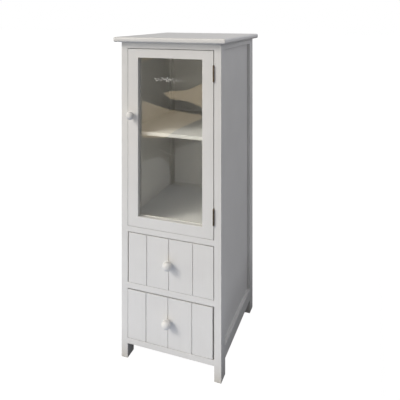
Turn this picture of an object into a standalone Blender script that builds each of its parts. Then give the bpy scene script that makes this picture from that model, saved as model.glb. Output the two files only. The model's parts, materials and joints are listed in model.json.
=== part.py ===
"""Apothecary cabinet: a tall painted cupboard with a glazed door over two drawers.

Metres, +Z up. The origin is on the floor, under the middle of the overall box.
The front faces -Y and the right side, where the door is hung, is +X.
"""
import math

import bmesh
import bpy

# ---- driving dimensions ----------------------------------------------------
OVERALL_HEIGHT = 1.010
BODY_WIDTH = 0.330
BODY_DEPTH = 0.388
CLEAR = 0.0003            # gap between pieces that are fixed face to face
SOFTENED_EDGE = 0.0007    # rounding of the long edges of painted stock

TOP_THICKNESS = 0.0155
TOP_FRONT_OVERHANG = 0.0205
TOP_SIDE_OVERHANG = 0.020
TOP_REAR_OVERHANG = 0.005
TOP_EDGE_ROUNDING = 0.0055

LEG_WIDTH = 0.022
LEG_DEPTH = 0.041

FRONT_RAIL_DEPTH = 0.034
FLOOR_TO_BOTTOM_RAIL = 0.046
BOTTOM_RAIL_HEIGHT = 0.0175
LOWER_OPENING_HEIGHT = 0.157
DIVIDER_RAIL_HEIGHT = 0.0185
UPPER_OPENING_HEIGHT = 0.1595
MIDDLE_RAIL_HEIGHT = 0.0175
TOP_RAIL_HEIGHT = 0.0195

FRAME_RAIL_THICKNESS = 0.018
SIDE_RAIL_TOP_HEIGHT = 0.019
SIDE_RAIL_BOTTOM_Z = 0.048
SIDE_RAIL_BOTTOM_HEIGHT = 0.040
BACK_RAIL_TOP_HEIGHT = 0.038
PANEL_THICKNESS = 0.004
SIDE_PANEL_RECESS = 0.0095
BACK_PANEL_RECESS = 0.006
PANEL_TONGUE = 0.005
GROOVE_PLAY = 0.0003

CUPBOARD_FLOOR_THICKNESS = 0.0135
SHELF_TOP_Z = 0.711
SHELF_THICKNESS = 0.011
RUNNER_REACH = 0.009      # how far a runner comes inside the legs
STRIP_HEIGHT = 0.012
SHELF_STRIP_WIDTH = 0.012

DOOR_THICKNESS = 0.022
DOOR_GAP = 0.0010
DOOR_TOP_GAP = 0.0018
DOOR_STOP_GAP = 0.0008
DOOR_STILE_WIDTH = 0.035
DOOR_TOP_RAIL_HEIGHT = 0.027
DOOR_BOTTOM_RAIL_HEIGHT = 0.033
GLASS_SETBACK = 0.014
GLASS_THICKNESS = 0.003
GLASS_LAP = 0.007
BEAD_WIDTH = 0.008

HINGE_LENGTH = 0.049
HINGE_BARREL_RADIUS = 0.0024
HINGE_PIN_RADIUS = 0.0009
HINGE_PIN_PLAY = 0.0003
HINGE_LEAF_THICKNESS = 0.0007
HINGE_LEAF_DEPTH = 0.016
HINGE_END_KNUCKLE = 0.0152
HINGE_KNUCKLE_GAP = 0.0004
HINGE_UPPER_INSET = 0.0423
HINGE_LOWER_INSET = 0.043
PIN_HEAD_RADIUS = 0.0019
PIN_HEAD_HEIGHT = 0.0007

DRAWER_FRONT_THICKNESS = 0.018
DRAWER_WALL_THICKNESS = 0.009
DRAWER_WALL_HEIGHT = 0.115
DRAWER_BOX_LENGTH = 0.325
DRAWER_BOTTOM_THICKNESS = 0.004
DRAWER_BOTTOM_LIFT = 0.009
DRAWER_BOTTOM_TONGUE = 0.004
DRAWER_SIDE_INSET = 0.001
DRAWER_UNDER_GAP = 0.001
PLANK_GROOVE_WIDTH = 0.0036
PLANK_GROOVE_DEPTH = 0.0036
LEFT_PLANK_WIDTH = 0.0625
RIGHT_PLANK_WIDTH = 0.0655
MIDDLE_ASIDE = 0.0020      # the middle groove and the knob stand this far left of half way
GROOVE_BOTTOM = 0.0001
UPPER_DRAWER_GAPS = (0.0032, 0.0022, 0.0010, 0.0025)   # left, right, under and over its front
LOWER_DRAWER_GAPS = (0.0010, 0.0050, 0.0010, 0.0036)

KNOB_SCREW_RADIUS = 0.0020
KNOB_BORE_RADIUS = 0.0024
KNOB_BORE_DEPTH = 0.012
KNOB_SCREW_HEAD_RADIUS = 0.0042
KNOB_SCREW_HEAD_HEIGHT = 0.0022
KNOB_SCREW_GRIP = 0.010
KNOB_HEAD = 1.6            # height of a knob's head, waist and foot as shares of its radius
KNOB_WAIST = 0.46
KNOB_FOOT = 0.50
KNOB_FOOT_RIM = 0.0012
KNOB_HEAD_ARC = math.radians(145)
KNOB_HEAD_STEPS = 11
DRAWER_KNOB_RADIUS = 0.0142
DRAWER_KNOB_REACH = 0.028
DRAWER_KNOB_RISE = 0.0025
DOOR_KNOB_RADIUS = 0.0128
DOOR_KNOB_REACH = 0.0265
DOOR_KNOB_Z = 0.766
DOOR_KNOB_ASIDE = 0.0025   # nearer the edge than the middle of the stile

CATCH_WIDTH = 0.012
CATCH_DEPTH = 0.014
CATCH_LENGTH = 0.040
CATCH_BELOW_SHELF = 0.060  # from the shelf top to the middle of the catch
STRIKE_THICKNESS = 0.0008

PAINT_ROUNDS = 2          # segments in a softened edge
TURNED_STEPS = 28

# ---- derived places ----------------------------------------------------------
HALF_WIDTH = BODY_WIDTH / 2
FRONT_REACH = max(DRAWER_KNOB_REACH, TOP_FRONT_OVERHANG)
FRONT = (FRONT_REACH - BODY_DEPTH - TOP_REAR_OVERHANG) / 2
REAR = FRONT + BODY_DEPTH
INNER = HALF_WIDTH - LEG_WIDTH                  # inner faces of the legs
TOP_UNDERSIDE = OVERALL_HEIGHT - TOP_THICKNESS
FRAME_TOP = TOP_UNDERSIDE - CLEAR

LOWER_OPENING_Z = FLOOR_TO_BOTTOM_RAIL + BOTTOM_RAIL_HEIGHT
DIVIDER_Z = LOWER_OPENING_Z + LOWER_OPENING_HEIGHT
UPPER_OPENING_Z = DIVIDER_Z + DIVIDER_RAIL_HEIGHT
MIDDLE_RAIL_Z = UPPER_OPENING_Z + UPPER_OPENING_HEIGHT
DOOR_OPENING_Z = MIDDLE_RAIL_Z + MIDDLE_RAIL_HEIGHT
TOP_RAIL_Z = TOP_UNDERSIDE - TOP_RAIL_HEIGHT

SIDE_PANEL_OUTER = HALF_WIDTH - SIDE_PANEL_RECESS
SIDE_PANEL_INNER = SIDE_PANEL_OUTER - PANEL_THICKNESS
BACK_PANEL_REAR = REAR - BACK_PANEL_RECESS
BACK_PANEL_FRONT = BACK_PANEL_REAR - PANEL_THICKNESS
BETWEEN_LEGS = (FRONT + LEG_DEPTH + CLEAR, REAR - LEG_DEPTH - CLEAR)

HINGE_GAP = 2 * HINGE_LEAF_THICKNESS + 3 * CLEAR
HINGE_X = INNER - HINGE_GAP / 2
HINGE_Y = FRONT - HINGE_BARREL_RADIUS - CLEAR
DOOR_LEFT = -INNER + DOOR_GAP
DOOR_RIGHT = INNER - HINGE_GAP
DOOR_BOTTOM = DOOR_OPENING_Z + DOOR_GAP
DOOR_TOP = TOP_RAIL_Z - DOOR_TOP_GAP
DOOR_REAR = FRONT + DOOR_THICKNESS
GLASS_FRONT = FRONT + GLASS_SETBACK
GLASS_REAR = GLASS_FRONT + GLASS_THICKNESS
CATCH_MIDDLE = SHELF_TOP_Z - CATCH_BELOW_SHELF
CATCH_SPAN = (CATCH_MIDDLE - CATCH_LENGTH / 2, CATCH_MIDDLE + CATCH_LENGTH / 2)


# ---- materials ---------------------------------------------------------------
def linear(channel):
    """One 0-255 display value as a linear one."""
    value = channel / 255
    return value / 12.92 if value <= 0.04045 else ((value + 0.055) / 1.055) ** 2.4


def make_material(name, rgb, roughness, metallic=0.0, transmission=0.0):
    """A Principled material from display colour values."""
    material = bpy.data.materials.new(name)
    material.use_nodes = True
    shader = material.node_tree.nodes["Principled BSDF"]
    shader.inputs["Base Color"].default_value = [linear(c) for c in rgb] + [1.0]
    shader.inputs["Roughness"].default_value = roughness
    shader.inputs["Metallic"].default_value = metallic
    shader.inputs["Transmission Weight"].default_value = transmission
    return material


def make_materials():
    """Every material of the cabinet, by the name of what it is."""
    return {
        "white_paint": make_material("white_paint", (232, 230, 224), 0.45),
        "bare_pine": make_material("bare_pine", (214, 184, 140), 0.60),
        "plywood": make_material("plywood", (205, 178, 138), 0.65),
        "clear_glass": make_material("clear_glass", (240, 246, 244), 0.02, 0.0, 1.0),
        "aged_brass": make_material("aged_brass", (110, 84, 50), 0.38, 1.0),
        "zinc_steel": make_material("zinc_steel", (176, 178, 180), 0.32, 1.0),
        "grey_plastic": make_material("grey_plastic", (120, 118, 114), 0.50),
    }


# ---- building blocks ---------------------------------------------------------
def clear_scene():
    """Remove whatever the file starts with."""
    for item in list(bpy.data.objects):
        bpy.data.objects.remove(item, do_unlink=True)


def new_collection(name):
    """A collection linked to the scene."""
    collection = bpy.data.collections.new(name)
    bpy.context.scene.collection.children.link(collection)
    return collection


def runs_along(edge, axis):
    """True where an edge is parallel to axis 0, 1 or 2."""
    span = edge.verts[1].co - edge.verts[0].co
    return abs(span[axis]) > 0.99 * span.length


def box_mesh(name, size, rounding=0.0, along=(0, 1, 2), segments=PAINT_ROUNDS):
    """A cube primitive scaled to size, with the edges along some axes rounded."""
    mesh = bpy.data.meshes.new(name)
    bm = bmesh.new()
    bmesh.ops.create_cube(bm, size=1.0)
    bmesh.ops.scale(bm, vec=size, verts=bm.verts)
    if rounding:
        edges = [edge for edge in bm.edges if any(runs_along(edge, axis) for axis in along)]
        bmesh.ops.bevel(bm, geom=edges, offset=rounding, segments=segments, profile=0.5,
                        affect="EDGES", clamp_overlap=True)
    bm.to_mesh(mesh)
    bm.free()
    return mesh


class Workshop:
    """Holds the collections, the materials and the body that new pieces join."""

    def __init__(self):
        self.parts = new_collection("apothecary_cabinet")
        self.cutters = new_collection("cutters")
        self.materials = make_materials()
        self.parent = None

    def start_body(self, name, place):
        """Pieces made from here on follow an empty that stands on their joint axis."""
        self.parent = bpy.data.objects.new(name, None)
        self.parent.location = place
        self.parts.objects.link(self.parent)

    def add(self, name, mesh, centre, material, rotation=(0, 0, 0)):
        """Link one piece, placed in world coordinates."""
        piece = bpy.data.objects.new(name, mesh)
        piece.rotation_euler = rotation
        piece.location = centre
        if self.parent:
            piece.parent = self.parent
            piece.location = [c - p for c, p in zip(centre, self.parent.location)]
        mesh.materials.append(self.materials[material])
        self.parts.objects.link(piece)
        return piece

    def box(self, name, x, y, z, material="white_paint", rounding=SOFTENED_EDGE, along=(0, 1, 2),
            segments=PAINT_ROUNDS):
        """A box between two limits on each axis."""
        size = [high - low for low, high in (x, y, z)]
        centre = [(low + high) / 2 for low, high in (x, y, z)]
        mesh = box_mesh(name, size, rounding, along, segments)
        return self.add(name, mesh, centre, material)

    def tool(self, name, mesh, centre, rotation=(0, 0, 0)):
        """A hidden shape that cuts or joins a piece."""
        item = bpy.data.objects.new(name, mesh)
        item.location = centre
        item.rotation_euler = rotation
        item.hide_render = True
        item.display_type = "WIRE"
        self.cutters.objects.link(item)
        return item

    def box_tool(self, name, x, y, z):
        """A hidden box between two limits on each axis."""
        size = [high - low for low, high in (x, y, z)]
        centre = [(low + high) / 2 for low, high in (x, y, z)]
        return self.tool(name, box_mesh(name, size), centre)

    def turned(self, name, profile, centre, material, rotation=(0, 0, 0)):
        """A profile of (radius, height) points, listed from the top down, spun about Z."""
        mesh = bpy.data.meshes.new(name)
        bm = bmesh.new()
        points = [bm.verts.new((radius, 0.0, height)) for radius, height in profile]
        for first, second in zip(points, points[1:]):
            bm.edges.new((first, second))
        bm.to_mesh(mesh)
        bm.free()
        piece = self.add(name, mesh, centre, material, rotation)
        screw = piece.modifiers.new("spin", "SCREW")
        screw.steps = TURNED_STEPS
        screw.render_steps = TURNED_STEPS
        screw.use_merge_vertices = True
        screw.merge_threshold = 0.00001
        screw.use_smooth_shade = True
        return piece


def combine(piece, tool, operation="DIFFERENCE"):
    """Cut a piece with a hidden shape, or join the two."""
    boolean = piece.modifiers.new(tool.name, "BOOLEAN")
    boolean.operation = operation
    boolean.solver = "EXACT"
    boolean.object = tool


def cylinder_mesh(name, radius, length, segments=24):
    """A closed cylinder about Z."""
    mesh = bpy.data.meshes.new(name)
    bm = bmesh.new()
    bmesh.ops.create_cone(bm, cap_ends=True, segments=segments, radius1=radius, radius2=radius,
                          depth=length)
    bm.to_mesh(mesh)
    bm.free()
    return mesh


def grown(limits, amount):
    """A pair of limits moved apart by an amount at each end."""
    return (limits[0] - amount, limits[1] + amount)


def mirrored(limits, side):
    """Limits given for the right side, turned over when side is -1."""
    return tuple(sorted(side * value for value in limits))


SIDES = (("left", -1), ("right", 1))


# ---- carcass -----------------------------------------------------------------
def side_panel_limits(side):
    """Where a side panel lies, with its tongues in the legs and rails."""
    x = mirrored((SIDE_PANEL_INNER, SIDE_PANEL_OUTER), side)
    y = grown(BETWEEN_LEGS, PANEL_TONGUE)
    bottom = SIDE_RAIL_BOTTOM_Z + SIDE_RAIL_BOTTOM_HEIGHT
    top = FRAME_TOP - SIDE_RAIL_TOP_HEIGHT
    return x, y, grown((bottom, top), PANEL_TONGUE)


def back_panel_limits():
    """Where the back panel lies, with its tongues in the rear legs and rails."""
    x = grown((-INNER, INNER), PANEL_TONGUE)
    y = (BACK_PANEL_FRONT, BACK_PANEL_REAR)
    bottom = SIDE_RAIL_BOTTOM_Z + SIDE_RAIL_BOTTOM_HEIGHT
    top = FRAME_TOP - BACK_RAIL_TOP_HEIGHT
    return x, y, grown((bottom, top), PANEL_TONGUE)


def panel_grooves(shop):
    """Hidden boxes, a little larger than the panels, that plough their grooves."""
    grooves = {"back": shop.box_tool("back_panel_groove",
                                     *(grown(pair, GROOVE_PLAY) for pair in back_panel_limits()))}
    for name, side in SIDES:
        limits = (grown(pair, GROOVE_PLAY) for pair in side_panel_limits(side))
        grooves[name] = shop.box_tool(f"side_panel_groove_{name}", *limits)
    return grooves


def make_legs(shop, grooves):
    """Four legs that are also the uprights of the framed sides."""
    for name, side in SIDES:
        x = mirrored((INNER, HALF_WIDTH), side)
        front = shop.box(f"leg_front_{name}", x, (FRONT, FRONT + LEG_DEPTH), (0.0, FRAME_TOP))
        rear = shop.box(f"leg_rear_{name}", x, (REAR - LEG_DEPTH, REAR), (0.0, FRAME_TOP))
        combine(front, grooves[name])
        combine(rear, grooves[name])
        combine(rear, grooves["back"])


def make_front_rails(shop):
    """Four flat rails between the front legs, flush with their faces."""
    x = (-INNER + CLEAR, INNER - CLEAR)
    y = (FRONT, FRONT + FRONT_RAIL_DEPTH)
    heights = {
        "front_rail_bottom": (FLOOR_TO_BOTTOM_RAIL, LOWER_OPENING_Z),
        "front_rail_divider": (DIVIDER_Z, UPPER_OPENING_Z),
        "front_rail_middle": (MIDDLE_RAIL_Z, DOOR_OPENING_Z),
        "front_rail_top": (TOP_RAIL_Z, FRAME_TOP),
    }
    for name, z in heights.items():
        shop.box(name, x, y, z, along=(0,))


def make_side_frames(shop, grooves):
    """Rails and the thin panel of each framed side."""
    for name, side in SIDES:
        x = mirrored((HALF_WIDTH - FRAME_RAIL_THICKNESS, HALF_WIDTH), side)
        bottom_z = (SIDE_RAIL_BOTTOM_Z, SIDE_RAIL_BOTTOM_Z + SIDE_RAIL_BOTTOM_HEIGHT)
        top_z = (FRAME_TOP - SIDE_RAIL_TOP_HEIGHT, FRAME_TOP)
        bottom = shop.box(f"side_rail_bottom_{name}", x, BETWEEN_LEGS, bottom_z, along=(1,))
        top = shop.box(f"side_rail_top_{name}", x, BETWEEN_LEGS, top_z, along=(1,))
        combine(bottom, grooves[name])
        combine(top, grooves[name])
        shop.box(f"side_panel_{name}", *side_panel_limits(side), rounding=0.0)


def make_back(shop, grooves):
    """Three rails between the rear legs, and the back panel."""
    x = (-INNER + CLEAR, INNER - CLEAR)
    y = (REAR - FRAME_RAIL_THICKNESS, REAR)
    bottom_z = (SIDE_RAIL_BOTTOM_Z, SIDE_RAIL_BOTTOM_Z + SIDE_RAIL_BOTTOM_HEIGHT)
    bottom = shop.box("back_rail_bottom", x, y, bottom_z, along=(0,))
    top = shop.box("back_rail_top", x, y, (FRAME_TOP - BACK_RAIL_TOP_HEIGHT, FRAME_TOP), along=(0,))
    combine(bottom, grooves["back"])
    combine(top, grooves["back"])
    ledge_y = (BACK_PANEL_FRONT - CLEAR - FRAME_RAIL_THICKNESS, BACK_PANEL_FRONT - CLEAR)
    ledge_z = (MIDDLE_RAIL_Z, DOOR_OPENING_Z)
    shop.box("back_rail_middle", x, ledge_y, ledge_z, along=(0,))
    shop.box("back_panel", *back_panel_limits(), rounding=0.0)


def make_top_board(shop):
    """The top, with a round nosing all round."""
    x = (-HALF_WIDTH - TOP_SIDE_OVERHANG, HALF_WIDTH + TOP_SIDE_OVERHANG)
    y = (FRONT - TOP_FRONT_OVERHANG, REAR + TOP_REAR_OVERHANG)
    shop.box("top_board", x, y, (TOP_UNDERSIDE, OVERALL_HEIGHT), rounding=TOP_EDGE_ROUNDING,
             segments=5)


def notched_board(shop, name, front, z):
    """A board between the side panels, cut out round the four legs."""
    half = SIDE_PANEL_INNER - CLEAR
    board = shop.box(name, (-half, half), (front, BACK_PANEL_FRONT - CLEAR), z)
    leg_depths = ((FRONT, BETWEEN_LEGS[0]), (BETWEEN_LEGS[1], REAR))
    for side_name, side in SIDES:
        for place, y in zip(("front", "rear"), leg_depths):
            x = mirrored((INNER - CLEAR, HALF_WIDTH), side)
            notch = shop.box_tool(f"{name}_notch_{place}_{side_name}", x, y, grown(z, CLEAR))
            combine(board, notch)


def make_cupboard_inside(shop):
    """Floor and shelf of the cupboard, and the strips that carry the shelf."""
    floor_z = (DOOR_OPENING_Z + CLEAR, DOOR_OPENING_Z + CLEAR + CUPBOARD_FLOOR_THICKNESS)
    shelf_bottom = SHELF_TOP_Z - SHELF_THICKNESS
    front = DOOR_REAR + DOOR_STOP_GAP
    notched_board(shop, "cupboard_floor", front, floor_z)
    notched_board(shop, "shelf", front, (shelf_bottom, SHELF_TOP_Z))
    strip_top = shelf_bottom - CLEAR
    outer = SIDE_PANEL_INNER - CLEAR
    for name, side in SIDES:
        x = mirrored((outer - SHELF_STRIP_WIDTH, outer), side)
        shop.box(f"shelf_strip_{name}", x, BETWEEN_LEGS, (strip_top - STRIP_HEIGHT, strip_top))


def make_runners(shop):
    """Two pine strips under each drawer, one along each side."""
    outer_faces = {"upper": SIDE_PANEL_INNER - CLEAR,
                   "lower": HALF_WIDTH - FRAME_RAIL_THICKNESS - CLEAR}
    tops = {"upper": UPPER_OPENING_Z, "lower": LOWER_OPENING_Z}
    inner = INNER - RUNNER_REACH
    for level, outer in outer_faces.items():
        top = tops[level] + DRAWER_UNDER_GAP - CLEAR
        for name, side in SIDES:
            x = mirrored((inner, outer), side)
            shop.box(f"{level}_runner_{name}", x, BETWEEN_LEGS, (top - STRIP_HEIGHT, top), "bare_pine")


def make_catch(shop):
    """The body of the magnetic catch, fixed on the left front leg behind the door."""
    x = (-INNER + CLEAR, -INNER + CLEAR + CATCH_WIDTH)
    front = DOOR_REAR + CLEAR + STRIKE_THICKNESS + CLEAR
    shop.box("catch_body", x, (front, front + CATCH_DEPTH), CATCH_SPAN, "grey_plastic")


# ---- hinges ------------------------------------------------------------------
def hinge_levels():
    """The middle height of each hinge."""
    half = HINGE_LENGTH / 2
    return {"upper": DOOR_TOP - HINGE_UPPER_INSET - half, "lower": DOOR_BOTTOM + HINGE_LOWER_INSET + half}


def knuckle_spans(middle, is_frame):
    """The heights of the knuckles that one leaf owns."""
    low = middle - HINGE_LENGTH / 2
    high = middle + HINGE_LENGTH / 2
    if is_frame:
        return [(low, low + HINGE_END_KNUCKLE), (high - HINGE_END_KNUCKLE, high)]
    inset = HINGE_END_KNUCKLE + HINGE_KNUCKLE_GAP
    return [(low + inset, high - inset)]


def make_hinge_leaf(shop, name, middle, is_frame):
    """A leaf: a plate in the gap beside the door, with its knuckles round the pin."""
    side = 1 if is_frame else -1
    near = CLEAR / 2
    x = tuple(sorted(HINGE_X + side * offset for offset in (near, near + HINGE_LEAF_THICKNESS)))
    z = (middle - HINGE_LENGTH / 2, middle + HINGE_LENGTH / 2)
    leaf = shop.box(name, x, (HINGE_Y, FRONT + HINGE_LEAF_DEPTH), z, "aged_brass", rounding=0.0)
    free_y = (HINGE_Y - HINGE_BARREL_RADIUS, HINGE_Y + HINGE_BARREL_RADIUS + CLEAR)
    for index, span in enumerate(knuckle_spans(middle, not is_frame)):
        clearance = grown(span, HINGE_KNUCKLE_GAP + CLEAR)
        combine(leaf, shop.box_tool(f"{name}_notch_{index}", grown(x, CLEAR), free_y, clearance))
    for index, span in enumerate(knuckle_spans(middle, is_frame)):
        barrel = cylinder_mesh(f"{name}_knuckle_{index}", HINGE_BARREL_RADIUS, span[1] - span[0])
        centre = (HINGE_X, HINGE_Y, sum(span) / 2)
        combine(leaf, shop.tool(barrel.name, barrel, centre), "UNION")
    bore = cylinder_mesh(f"{name}_bore", HINGE_PIN_RADIUS + HINGE_PIN_PLAY, 2 * HINGE_LENGTH, 16)
    combine(leaf, shop.tool(bore.name, bore, (HINGE_X, HINGE_Y, middle)))


def make_hinge_pin(shop, name, middle):
    """A pin with a flat head at each end."""
    end = HINGE_LENGTH / 2 + CLEAR
    tip = end + PIN_HEAD_HEIGHT
    profile = [(0.0, tip), (PIN_HEAD_RADIUS * 0.7, tip), (PIN_HEAD_RADIUS, tip - PIN_HEAD_HEIGHT / 2),
               (PIN_HEAD_RADIUS, end), (HINGE_PIN_RADIUS, end)]
    profile += [(radius, -height) for radius, height in reversed(profile)]
    shop.turned(name, profile, (HINGE_X, HINGE_Y, middle), "aged_brass")


def make_fixed_hinge_parts(shop):
    """The leaf on the leg and the pin of each hinge."""
    for name, middle in hinge_levels().items():
        make_hinge_leaf(shop, f"hinge_{name}_frame_leaf", middle, True)
        make_hinge_pin(shop, f"hinge_{name}_pin", middle)


# ---- knobs -------------------------------------------------------------------
def knob_profile(radius, reach):
    """Outline of a turned knob: domed head, waist, foot, and the bore for its screw."""
    head_height = radius * KNOB_HEAD
    head_middle = reach - head_height / 2
    waist = radius * KNOB_WAIST
    foot = radius * KNOB_FOOT
    arc = []
    for step in range(KNOB_HEAD_STEPS + 1):
        angle = math.pi / 2 - step * KNOB_HEAD_ARC / KNOB_HEAD_STEPS
        arc.append((radius * math.cos(angle), head_middle + head_height / 2 * math.sin(angle)))
    arc[0] = (0.0, reach)
    waist_z = head_middle - head_height / 2 + radius * 0.06
    stem = [(waist, waist_z), (waist, waist_z - radius * 0.12), (foot, CLEAR + KNOB_FOOT_RIM), (foot, CLEAR)]
    bore = [(KNOB_BORE_RADIUS, CLEAR), (KNOB_BORE_RADIUS, KNOB_BORE_DEPTH), (0.0, KNOB_BORE_DEPTH)]
    return arc + stem + bore


def make_knob(shop, name, radius, reach, place):
    """A knob on a front face, with its axis along Y."""
    shop.turned(name, knob_profile(radius, reach), place, "white_paint", (math.pi / 2, 0, 0))


def make_knob_screw(shop, name, place, thickness):
    """The screw that holds a knob, entered from behind a front of some thickness."""
    under_head = -thickness - CLEAR
    head = KNOB_SCREW_HEAD_RADIUS
    tail = under_head - KNOB_SCREW_HEAD_HEIGHT
    profile = [(0.0, KNOB_SCREW_GRIP), (KNOB_SCREW_RADIUS * 0.6, KNOB_SCREW_GRIP),
               (KNOB_SCREW_RADIUS, KNOB_SCREW_GRIP - 0.001), (KNOB_SCREW_RADIUS, under_head),
               (head, under_head), (head, tail + 0.0009), (head * 0.72, tail), (0.0, tail)]
    shop.turned(name, profile, place, "zinc_steel", (math.pi / 2, 0, 0))


def drill_for_knob(shop, piece, place, thickness):
    """The hole for a knob's screw."""
    length = thickness * 2
    drill = cylinder_mesh(f"{piece.name}_drill", KNOB_BORE_RADIUS, length)
    centre = (place[0], place[1] + thickness / 2, place[2])
    combine(piece, shop.tool(drill.name, drill, centre, (math.pi / 2, 0, 0)))


# ---- door --------------------------------------------------------------------
def glass_limits():
    """Where the pane lies, lapping behind the door's frame."""
    x = (DOOR_LEFT + DOOR_STILE_WIDTH - GLASS_LAP, DOOR_RIGHT - DOOR_STILE_WIDTH + GLASS_LAP)
    z = (DOOR_BOTTOM + DOOR_BOTTOM_RAIL_HEIGHT - GLASS_LAP, DOOR_TOP - DOOR_TOP_RAIL_HEIGHT + GLASS_LAP)
    return x, (GLASS_FRONT, GLASS_REAR), z


def make_door_frame(shop):
    """Stiles and rails, rebated from behind for the pane. Returns them by name."""
    y = (FRONT, DOOR_REAR)
    inner_x = (DOOR_LEFT + DOOR_STILE_WIDTH, DOOR_RIGHT - DOOR_STILE_WIDTH)
    rail_x = grown(inner_x, -CLEAR)
    pane_x, pane_y, pane_z = glass_limits()
    rebate = shop.box_tool("door_rebate", grown(pane_x, CLEAR), (pane_y[0] - CLEAR, DOOR_REAR + CLEAR),
                           grown(pane_z, CLEAR))
    height = (DOOR_BOTTOM, DOOR_TOP)
    frame = {
        "left": shop.box("door_stile_left", (DOOR_LEFT, inner_x[0]), y, height),
        "right": shop.box("door_stile_right", (inner_x[1], DOOR_RIGHT), y, height),
        "bottom": shop.box("door_rail_bottom", rail_x, y,
                           (DOOR_BOTTOM, DOOR_BOTTOM + DOOR_BOTTOM_RAIL_HEIGHT), along=(0,)),
        "top": shop.box("door_rail_top", rail_x, y, (DOOR_TOP - DOOR_TOP_RAIL_HEIGHT, DOOR_TOP),
                        along=(0,)),
    }
    for piece in frame.values():
        combine(piece, rebate)
    return frame


def make_glazing(shop):
    """The pane and the four beads that hold it from behind."""
    x, y, z = glass_limits()
    shop.box("door_glass", x, y, z, "clear_glass", rounding=0.0)
    bead_y = (GLASS_REAR + CLEAR, DOOR_REAR)
    between = (z[0] + BEAD_WIDTH + CLEAR, z[1] - BEAD_WIDTH - CLEAR)
    shop.box("glass_bead_bottom", x, bead_y, (z[0], z[0] + BEAD_WIDTH))
    shop.box("glass_bead_top", x, bead_y, (z[1] - BEAD_WIDTH, z[1]))
    shop.box("glass_bead_left", (x[0], x[0] + BEAD_WIDTH), bead_y, between)
    shop.box("glass_bead_right", (x[1] - BEAD_WIDTH, x[1]), bead_y, between)


def make_strike_plate(shop):
    """The steel plate that the catch holds, on the back of the left stile."""
    x = (-INNER + CLEAR + DOOR_GAP, -INNER + CLEAR + CATCH_WIDTH)
    y = (DOOR_REAR + CLEAR, DOOR_REAR + CLEAR + STRIKE_THICKNESS)
    shop.box("catch_strike_plate", x, y, CATCH_SPAN, "zinc_steel", rounding=0.0)


def make_door(shop):
    """The glazed door, which turns on the hinge pins."""
    shop.start_body("door_pivot", (HINGE_X, HINGE_Y, DOOR_BOTTOM))
    frame = make_door_frame(shop)
    make_glazing(shop)
    knob_place = (DOOR_LEFT + DOOR_STILE_WIDTH / 2 - DOOR_KNOB_ASIDE, FRONT, DOOR_KNOB_Z)
    drill_for_knob(shop, frame["left"], knob_place, DOOR_THICKNESS)
    make_knob(shop, "door_knob", DOOR_KNOB_RADIUS, DOOR_KNOB_REACH, knob_place)
    make_knob_screw(shop, "door_knob_screw", knob_place, DOOR_THICKNESS)
    make_strike_plate(shop)
    for name, middle in hinge_levels().items():
        make_hinge_leaf(shop, f"hinge_{name}_door_leaf", middle, False)


# ---- drawers -----------------------------------------------------------------
def make_drawer_front(shop, name, x, z, box_bottom):
    """A front scored into planks, with a groove behind for the bottom."""
    y = (FRONT, FRONT + DRAWER_FRONT_THICKNESS)
    front = shop.box(name, x, y, z)
    first_x = x[0] + LEFT_PLANK_WIDTH
    last_x = x[1] - RIGHT_PLANK_WIDTH
    middle_x = (first_x + last_x) / 2 - MIDDLE_ASIDE
    reach = PLANK_GROOVE_DEPTH + PLANK_GROOVE_WIDTH
    for index, groove_x in enumerate((first_x, middle_x, last_x)):
        mesh = box_mesh(f"{name}_groove_{index}", (1.0, 1.0, (z[1] - z[0]) * 1.1))
        blade = shop.tool(mesh.name, mesh, (groove_x, FRONT, sum(z) / 2))
        shape_blade(mesh, PLANK_GROOVE_WIDTH / 2, PLANK_GROOVE_DEPTH, reach)
        combine(front, blade)
    slot_z = grown((box_bottom, box_bottom + DRAWER_BOTTOM_THICKNESS), GROOVE_PLAY)
    slot_y = (y[1] - DRAWER_BOTTOM_TONGUE - GROOVE_PLAY, y[1] + CLEAR)
    slot_x = grown(x, -DRAWER_SIDE_INSET - DRAWER_WALL_THICKNESS + DRAWER_BOTTOM_TONGUE + GROOVE_PLAY)
    combine(front, shop.box_tool(f"{name}_slot", slot_x, slot_y, slot_z))
    return front


def shape_blade(mesh, half_width, depth, reach):
    """Turn a unit box into a wedge: its rear edge is the bottom of a V groove."""
    slope = half_width / depth
    for vertex in mesh.vertices:
        behind = vertex.co.y > 0
        spread = GROOVE_BOTTOM / 2 if behind else slope * (depth + reach)
        vertex.co.x = math.copysign(spread, vertex.co.x)
        vertex.co.y = depth if behind else -reach


def make_drawer_box(shop, name, x, bottom):
    """Sides, back and bottom of a drawer behind its front."""
    outer = grown(x, -DRAWER_SIDE_INSET)
    start = FRONT + DRAWER_FRONT_THICKNESS + CLEAR
    end = start + DRAWER_BOX_LENGTH
    top = bottom + DRAWER_WALL_HEIGHT
    panel_bottom = bottom + DRAWER_BOTTOM_LIFT
    panel_z = (panel_bottom, panel_bottom + DRAWER_BOTTOM_THICKNESS)
    inner = grown(outer, -DRAWER_WALL_THICKNESS)
    panel_x = grown(inner, DRAWER_BOTTOM_TONGUE)
    panel_y = (FRONT + DRAWER_FRONT_THICKNESS - DRAWER_BOTTOM_TONGUE, end)
    slot = shop.box_tool(f"{name}_side_slot", grown(panel_x, GROOVE_PLAY), grown(panel_y, 2 * GROOVE_PLAY),
                         grown(panel_z, GROOVE_PLAY))
    for side_name, side_x in (("left", (outer[0], inner[0])), ("right", (inner[1], outer[1]))):
        side = shop.box(f"{name}_side_{side_name}", side_x, (start, end), (bottom, top), "bare_pine")
        combine(side, slot)
    back_y = (end - DRAWER_WALL_THICKNESS, end)
    back_x = grown(inner, -CLEAR)
    shop.box(f"{name}_back", back_x, back_y, (panel_z[1] + CLEAR, top), "bare_pine")
    shop.box(f"{name}_bottom", panel_x, panel_y, panel_z, "plywood", rounding=0.0)


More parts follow.
